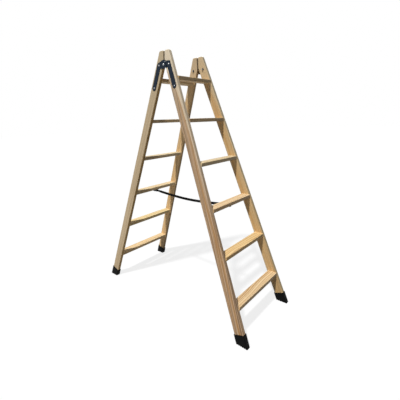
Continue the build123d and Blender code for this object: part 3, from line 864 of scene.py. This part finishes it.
def dress_metal_and_rubber():
    """Shoes, hinge plates, rope clips and fasteners."""
    finishes = (
        (shoe_rubber(), ("_shoe",)),
        (hinge_paint(), ("_plate", "_rope_clip")),
        (zinc("bright_zinc", BRIGHT_ZINC), ("_pivot", "_stop_pins", "_bolts", "_screws")),
        (zinc("dull_zinc_and_shade", DULL_ZINC_AND_SHADE), ("_washers", "_nuts")),
    )
    for finish, endings in finishes:
        dress([name for name in nodes if name.endswith(endings)], finish)


def hang_rope():
    """Braided stay rope with its two stopper knots, in place of the plain solids.

    It is cut in the middle, and each half and its knot move with their own section as the ladder folds.
    """
    fibre = rope_fibre()
    points = route_line("stay_rope_route", ROPE_ROUTE)
    middle = len(points) // 2
    halves = (
        ("front", -1, points[0], points[:middle + 1], (0.0, 0.5)),
        ("rear", 1, points[-1], points[middle:], (0.5, 1.0)),
    )
    for section, way, end, line, part in halves:
        body = f"{section}_section"
        knot = stopper_knot(f"{section}_stopper_knot", end, way)
        half = braid(f"{section}_rope_braid", points, ROPE_RADIUS, ROPE_LAY, ROPE_STRAND_SIDES,
                     swell=ROPE_SWELL, part=part)
        for piece in (knot, half):
            piece.data.materials.append(fibre)
            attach(piece, body)
        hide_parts(f"{section}_rope_knot")
        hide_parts("stay_rope")
        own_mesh(half)


# Stage

FLOOR_SIZE = 60
FLOOR_TINT = (0.90, 0.93, 0.99)
FLOOR_GLOW = 0.82
FLOOR_DIM = 0.06  # share of light that the bare floor sends back up
Card = namedtuple("Card", "middle full none bounce")
NEAR_CARD = Card((-2.6, 0.4, 0.0), 1.5, 3.2, 0.47)
BEHIND_CARD = Card((2.2, 1.8, 0.0), 1.2, 2.8, 0.40)
WHITE = (1, 1, 1)
Lamp = namedtuple("Lamp", "towards energy angle colour")
LAMP_DISTANCE = 2.5
KEY_LIGHT = Lamp(Vector((-0.55, -0.086, 1.0)), 3.7, 3.5, (1.0, 0.965, 0.90))
FILL_LIGHT = Lamp(Vector((1.0, 0.12, 0.03)), 1.9, 16.0, (1.0, 0.985, 0.96))
ROOM_TINT = (0.92, 0.97, 1.0)
ROOM_LIGHT = (-0.9, 0.5, 0.03, 0.20)  # dim towards the front, and brighter towards the back


def seen_directly(tree):
    """Mask of the rays that show the surroundings: to the camera, in a reflection or through glass."""
    path = add(tree, "ShaderNodeLightPath").outputs
    indirect = maths(tree, "MAXIMUM", path["Is Glossy Ray"], path["Is Transmission Ray"])
    return maths(tree, "MAXIMUM", path["Is Camera Ray"], indirect)


def either(tree, factor, first, second):
    """One shader or the other, by a mask."""
    both = add(tree, "ShaderNodeMixShader")
    feed(tree, factor, both.inputs[0])
    feed(tree, first.outputs[0], both.inputs[1])
    feed(tree, second.outputs[0], both.inputs[2])
    return both.outputs[0]


def pale_card(tree, where, card):
    """Mask of a round pale patch on the floor that fades out at its rim."""
    away = vectors(tree, "LENGTH", vectors(tree, "SUBTRACT", where, card.middle))
    return spread(tree, away, card.full, card.none, 1.0, 0.0)


def pale_floor():
    """White floor that keeps the ladder's shadow and sends light back up from two sides."""
    bpy.ops.object.select_all(action="DESELECT")
    bpy.ops.mesh.primitive_plane_add(size=FLOOR_SIZE, location=(0, 0, 0))
    floor = bpy.context.object
    floor.name = "floor"
    material, tree, shader = new_material("pale_floor")
    tree.nodes.remove(shader)
    seen = seen_directly(tree)
    where = own_place(tree)
    bounce = FLOOR_DIM
    for card in (BEHIND_CARD, NEAR_CARD):
        bounce = maths(tree, "MULTIPLY_ADD", pale_card(tree, where, card), card.bounce, bounce)
    matt = add(tree, "ShaderNodeBsdfDiffuse")
    feed(tree, mix(tree, seen, bounce, opaque(FLOOR_TINT)), matt.inputs["Color"])
    glow = add(tree, "ShaderNodeEmission")
    glow.inputs["Color"].default_value = opaque(WHITE)
    shown = either(tree, maths(tree, "MULTIPLY", seen, FLOOR_GLOW), matt, glow)
    feed(tree, shown, tree.nodes["Material Output"].inputs["Surface"])
    floor.data.materials.append(material)


def far_lamp(name, lamp):
    """Lamp so far off that its light falls evenly, as wide as the given angle."""
    turn = lamp.towards.to_track_quat("Z", "Y").to_euler()
    bpy.ops.object.light_add(type="SUN", rotation=turn, location=LAMP_DISTANCE * lamp.towards)
    light = bpy.context.object
    light.name = name
    light.data.energy = lamp.energy
    light.data.angle = math.radians(lamp.angle)
    light.data.color = lamp.colour


def studio_light():
    """High key on the near side and low fill on the far side, in a dim room that the camera sees as white."""
    far_lamp("key_light", KEY_LIGHT)
    far_lamp("fill_light", FILL_LIGHT)
    world = bpy.data.worlds.new("pale_room")
    scene.world = world
    world.use_nodes = True
    tree = world.node_tree
    tree.nodes.clear()
    room = add(tree, "ShaderNodeBackground")
    room.inputs["Color"].default_value = opaque(ROOM_TINT)
    towards = axes(tree, add(tree, "ShaderNodeTexCoord").outputs["Generated"])
    feed(tree, spread(tree, towards["Y"], *ROOM_LIGHT), room.inputs["Strength"])
    white = add(tree, "ShaderNodeBackground")
    white.inputs["Color"].default_value = opaque(WHITE)
    shown = either(tree, seen_directly(tree), room, white)
    feed(tree, shown, add(tree, "ShaderNodeOutputWorld").inputs["Surface"])


photo_camera()
hang_rope()
dress_wood()
dress_metal_and_rubber()
pale_floor()
studio_light()
